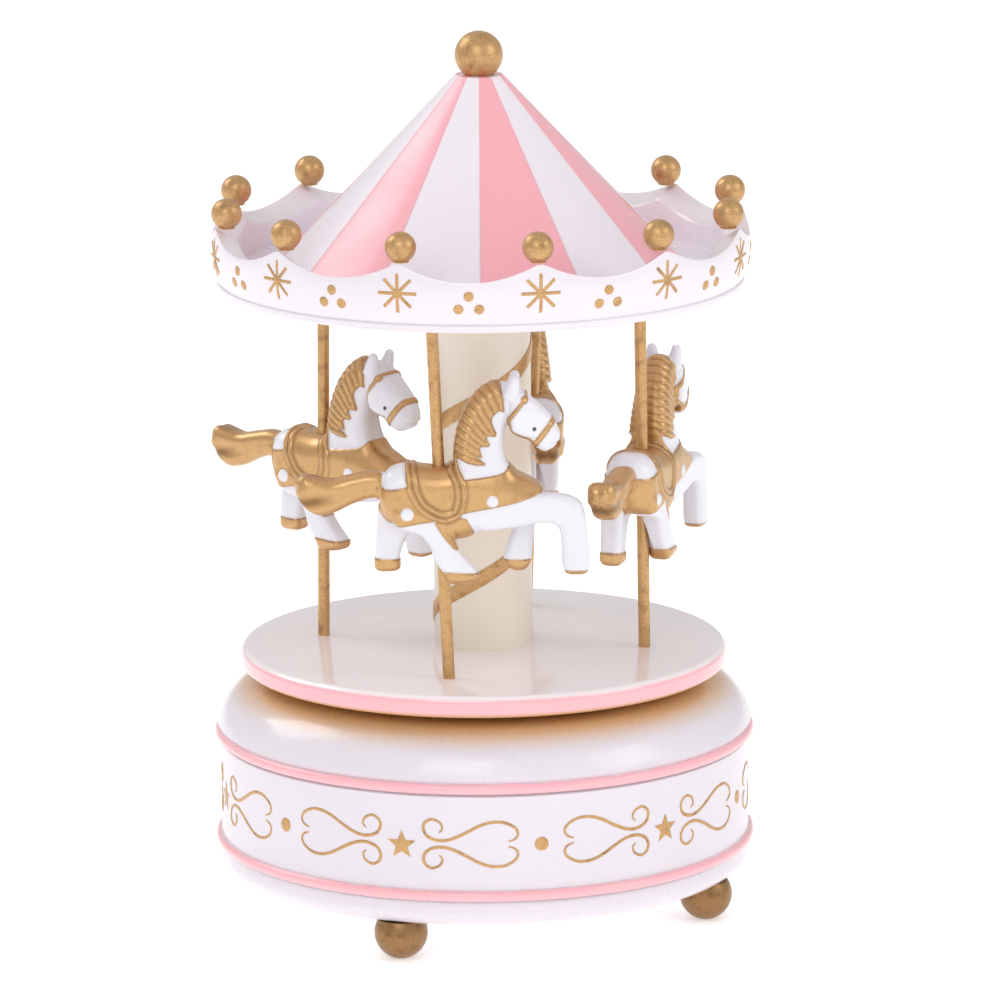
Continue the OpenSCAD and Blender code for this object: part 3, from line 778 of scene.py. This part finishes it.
def relief_masks(u, v):
    """Where the harness and paint lie, as seen from the side: each mask is 0 to 1."""
    mane = outline_distance(rounded(MANE, 1), u, v)
    blanket = outline_distance(rounded(BLANKET, 2), u, v)
    saddle = outline_distance(rounded(SADDLE, 3), u, v)
    girth = outline_distance(rounded(GIRTH, 1), u, v)
    straps = np.minimum(line_distance(CHEEK_STRAP, u, v) - 0.42, line_distance(NOSE_STRAP, u, v) - 0.6)
    straps = np.minimum(straps, np.hypot(u - 17.2, v - 13.3) - 0.75)
    studs = np.min([np.hypot(u - x, v - y) - r for x, y, r in STUDS], 0)
    return mane, blanket, saddle, girth, straps, studs


def hoof_distance(u, v, w):
    """Negative on the hooves, which are gilt below a slanted line on each leg."""
    right = w < 0
    front_right = np.where(right & (u > 20), v + 21.1, 9.0)
    hind_right = np.where(right & (u < 12), v + 21.3 + 0.05 * (u - 4), 9.0)
    front_left = np.where(~right & (u > 5), v + 20.0, 9.0)
    hind_left = np.where(~right & (u < 0), v + 19.7 + 0.05 * (u + 10), 9.0)
    return np.minimum(np.minimum(front_right, hind_right), np.minimum(front_left, hind_left))


def bell(value, width):
    return np.exp(-((value / width) ** 2))


def strand_height(u, v):
    """Locks of hair that fan out from a point under the jaw: 1 on a crest and 0 in a groove."""
    du, dv = u - STRAND_CENTER[0], v - STRAND_CENTER[1]
    return np.abs(np.sin(30 * np.arctan2(dv, du) + 0.8 * np.sin(0.55 * np.hypot(du, dv)))) ** 0.6


def fan(u, v):
    """Grooves that spread towards the tail's tip."""
    return np.sin(13 * np.arctan2(v + 5.2, -u - 13.0) + 0.6)


def horse_mesh(material):
    """One horse as a distance field on a fine grid, turned into a mesh with paint masks."""
    pitch = 0.25
    u = np.arange(-30, 32, pitch)
    w = np.arange(-7, 7.01, pitch)
    v = np.arange(-26, 21, pitch)
    uu, vv = np.meshgrid(u, v, indexing="ij")

    def slab(points, middle, half, edge, lean=None):
        d = outline_distance(rounded(points), uu, vv)[:, None, :]
        half = half if lean is None else half + lean[:, None, :]
        qx, qy = d + edge, np.abs(w[None, :, None] - middle) - half + edge
        return np.minimum(np.maximum(qx, qy), 0) + np.hypot(np.maximum(qx, 0), np.maximum(qy, 0)) - edge

    body = slab(TORSO, 0, 5.1, 4.2)
    flare = 0.35 * step(-uu, 18, 27)
    body = blended(body, slab(TAIL, 0, 2.5, 2.0, flare), 0.5)
    neck_half = -0.10 * np.clip(vv, 0, 16)
    body = blended(body, slab(NECK, 0, 4.0, 2.4, neck_half), 1.2)
    muzzle = -0.14 * np.clip(uu - 15, 0, 9)
    body = blended(body, slab(HEAD, 0, 4.0, 1.9, muzzle), 0.4)
    body = blended(body, slab(FRONT_RIGHT, RIGHT, 2.2, 1.5), 0.8)
    body = blended(body, slab(HIND_RIGHT, RIGHT, 2.3, 1.5), 0.9)
    body = blended(body, slab(FRONT_LEFT, LEFT, 2.1, 1.4), 0.8)
    body = blended(body, slab(HIND_LEFT, LEFT, 2.2, 1.4), 0.9)
    grid_u, grid_w, grid_v = u[:, None, None], w[None, :, None], v[None, None, :]
    for side in (-1, 1):
        tip = np.clip((grid_v - 14.4) / 2.8, 0, 1)
        off_u, off_w = grid_u - 14.5 - 0.8 * tip, grid_w - side * (2.2 + 0.4 * tip)
        ear = np.sqrt(off_u**2 + off_w**2 + (grid_v - 14.4 - 2.8 * tip) ** 2) - (1.7 - 0.7 * tip)
        body = blended(body, ear, 0.35)

    mane, blanket, saddle, girth, straps, studs = relief_masks(uu, vv)
    raised = (0.3 + 0.55 * strand_height(uu, vv)) * step(-mane, -0.05, 0.4)
    raised = np.maximum(raised, 0.3 * step(-blanket, -0.05, 0.2))
    ridges = 0.5 * bell(saddle + 0.55, 0.34) + 0.5 * bell(saddle + 1.75, 0.34)
    raised = np.maximum(raised, (0.4 * step(-saddle, -0.05, 0.2) + ridges) * (saddle < 0.3))
    raised = np.maximum(raised, 0.14 * step(-girth, -0.05, 0.3))
    raised = np.maximum(raised, 0.3 * step(-straps, -0.05, 0.15))
    raised = np.maximum(raised, 0.7 * step(-studs, -0.05, 0.3))
    cheek = np.hypot(uu - 17.6, vv - 8.6) - 3.0
    raised = np.maximum(raised, 0.3 * step(-cheek, -0.6, 0.5))
    raised = raised - 0.35 * bell(np.hypot(uu - 23.3, vv - 5.6), 0.45)
    raised = raised - 0.25 * bell(line_distance(MOUTH, uu, vv), 0.2)
    raised = raised + 0.22 * fan(uu, vv) * step(-uu, 17, 25) * (vv < 0)
    shell_only = step(-body, -1.6, -0.2)
    body = body - raised[:, None, :] * shell_only
    body = body - 0.22 * step(-hoof_distance(grid_u, grid_v, grid_w), -0.05, 0.25)
    lobes = np.cos(6 * np.arctan2(grid_v + 5.8, grid_w) + 0.6)
    body = body - 0.12 * lobes * step(-grid_u, 24.5, 27.5)
    eye = np.hypot(uu - EYE[0], vv - EYE[1])[:, None, :] - EYE[2]
    body = body - 0.14 * step(-eye, -0.25, 0.15) * shell_only
    bore = POLE_R + 0.06 + 0.04 * np.abs(grid_v)
    body = np.maximum(body, bore - np.hypot(grid_u, grid_w))

    grid = openvdb.FloatGrid()
    grid.copyFromArray(np.ascontiguousarray(body, dtype=np.float32))
    points, quads = grid.convertToQuads(isovalue=0.0)
    points = points * pitch + np.array([u[0], w[0], v[0]])
    mesh = bpy.data.meshes.new("horse")
    mesh.from_pydata((points * MM).tolist(), [], quads[:, ::-1].tolist())
    mesh.validate()
    mesh.polygons.foreach_set("use_smooth", [True] * len(mesh.polygons))
    mesh.materials.append(material)

    pu, pw, pv = points[:, 0], points[:, 1], points[:, 2]
    mane, blanket, saddle, girth, straps, studs = relief_masks(pu, pv)
    tail = outline_distance(rounded(TAIL), pu, pv) - 0.5
    tail = np.where((pu < -11.2) & (np.abs(pw) < 5.5), tail, 9)
    hooves = hoof_distance(pu, pv, pw)
    gilt = np.min([mane, blanket, saddle, girth, straps, tail, hooves], 0)
    gold = step(-gilt, -0.06, 0.10) * (1 - step(-studs, -0.06, 0.10))
    edge = np.exp(-((gilt / 0.22) ** 2)) * (gilt > -0.35)
    eye = step(EYE[2] - np.hypot(pu - EYE[0], pv - EYE[1]), -0.06, 0.06) * (np.abs(pw) > 1.2)
    # Painted shade for the creases: along the gilt's edges, in the mane's and tail's grooves and beside the
    # saddle's ridges.
    grooves = (1 - strand_height(pu, pv)) ** 2
    saddle_ridge_shade = 0.8 * bell(saddle + 1.15, 0.28) + 0.6 * bell(saddle + 2.4, 0.3) + 0.5 * bell(saddle - 0.2, 0.25)
    tail_groove_shade = (0.5 - 0.5 * fan(pu, pv)) ** 3 * step(-pu, 20, 25)
    painted_crease_shade = np.max([0.8 * edge, 1.0 * grooves * (mane < 0), saddle_ridge_shade * (np.abs(pw) > 1), tail_groove_shade * (tail < 0)], 0)
    for name, values in (("gold", gold), ("eye", eye), ("painted_crease_shade", painted_crease_shade)):
        mesh.attributes.new(name, "FLOAT", "POINT").data.foreach_set("value", values.astype(np.float32))
    return mesh


def build_horses():
    mesh = horse_mesh(horse_material())
    for i, heading in enumerate(HORSE_HEADINGS, 1):
        at = pole_axis(i)[0] * MM
        data = mesh.copy()
        data.transform(Matrix.Translation(at) @ Matrix.Rotation(math.radians(heading), 4, "Z"))
        piece = bpy.data.objects.new(f"painted_horse_{i}", data)
        bpy.context.scene.collection.objects.link(piece)
        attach(piece, f"horse_{i}")
        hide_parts(f"horse_{i}")


# ---- Carried-over CAD nodes ----

def paint_movement():
    brass = metal_material("brass", (0.72, 0.50, 0.22), 0.26, (1, 1, 6))
    steel = metal_material("steel", (0.52, 0.52, 0.54), 0.28, (6, 1, 1))
    blued = metal_material("blued_steel", (0.16, 0.19, 0.26), 0.25, (1, 8, 1))
    nylon = plastic_material("nylon", (0.80, 0.77, 0.68), 0.45, 0.0)
    cover = plastic_material("cover_plastic", WHITE, 0.35, 0.1)
    finish = {"brass": brass, "steel": steel, "spring_steel": blued, "nylon": nylon, "white_plastic": cover}
    slots = {s["node"]: s["material_slot"] for s in frame["record"]["subparts"]}
    for name, node in frame["nodes"].items():
        if not node.hide_render:
            node.data.materials.clear()
            node.data.materials.append(finish[slots[name]])


# ---- Studio ----

def add_light(name, at, size, power, color=(1, 1, 1)):
    light = bpy.data.lights.new(name, "AREA")
    light.energy, light.size, light.color = power, size, color
    piece = bpy.data.objects.new(name, light)
    piece.location = at
    aim = Vector((0, 0, 0.09)) - Vector(at)
    piece.rotation_euler = aim.to_track_quat("-Z", "Y").to_euler()
    bpy.context.scene.collection.objects.link(piece)


def build_studio():
    scene = bpy.context.scene
    scene.view_settings.view_transform = "Standard"
    world = bpy.data.worlds.new("studio")
    world.use_nodes = True
    world.node_tree.nodes["Background"].inputs["Color"].default_value = (1, 1, 1, 1)
    world.node_tree.nodes["Background"].inputs["Strength"].default_value = 0.62
    scene.world = world
    add_light("key", (-0.25, -1.1, 0.9), 0.7, 3.3)
    add_light("front", (0.15, -1.4, 0.32), 0.6, 0.5)
    add_light("back_left", (-0.75, 0.4, 0.8), 0.5, 2.6)
    add_light("right", (0.95, -0.4, 0.65), 0.6, 2.2)
    size, n = 9.0, Nodes("floor")
    floor_color = n.mix(n.noise(3, 2), (0.93, 0.93, 0.935), (0.96, 0.96, 0.96))
    n.shader.inputs["Emission Color"].default_value = (1, 1, 1, 1)
    n.shader.inputs["Emission Strength"].default_value = 0.42
    mesh = bpy.data.meshes.new("floor")
    corners = [(-size, -size, 0), (size, -size, 0), (size, size, 0), (-size, size, 0)]
    mesh.from_pydata(corners, [], [(0, 1, 2, 3)])
    mesh.materials.append(n.finish(floor_color, 0.6))
    floor = bpy.data.objects.new("floor", mesh)
    scene.collection.objects.link(floor)


def build_camera():
    """Level with the canopy's lower half, a little above, through a long lens."""
    distance, elevation, target_z, roll = 1.63, math.radians(12.3), 0.0835, math.radians(-0.48)
    camera = bpy.data.cameras.new("camera")
    camera.lens, camera.sensor_width, camera.shift_x = 288.4, 36, 0.018
    camera.clip_start, camera.clip_end = 0.1, 20
    piece = bpy.data.objects.new("camera", camera)
    back, up = distance * math.cos(elevation), target_z + distance * math.sin(elevation)
    tilt = Matrix.Rotation(math.pi / 2 - elevation, 4, "X")
    turn = Matrix.Rotation(roll, 4, "Z")
    piece.matrix_world = Matrix.Translation((0, -back, up)) @ tilt @ turn
    bpy.context.scene.collection.objects.link(piece)
    bpy.context.scene.camera = piece


build_camera()
build_base()
build_base_ornament()
build_turntable()
build_column()
build_poles()
build_canopy()
build_rim_ornament()
build_roof()
build_balls()
build_horses()
paint_movement()
build_studio()
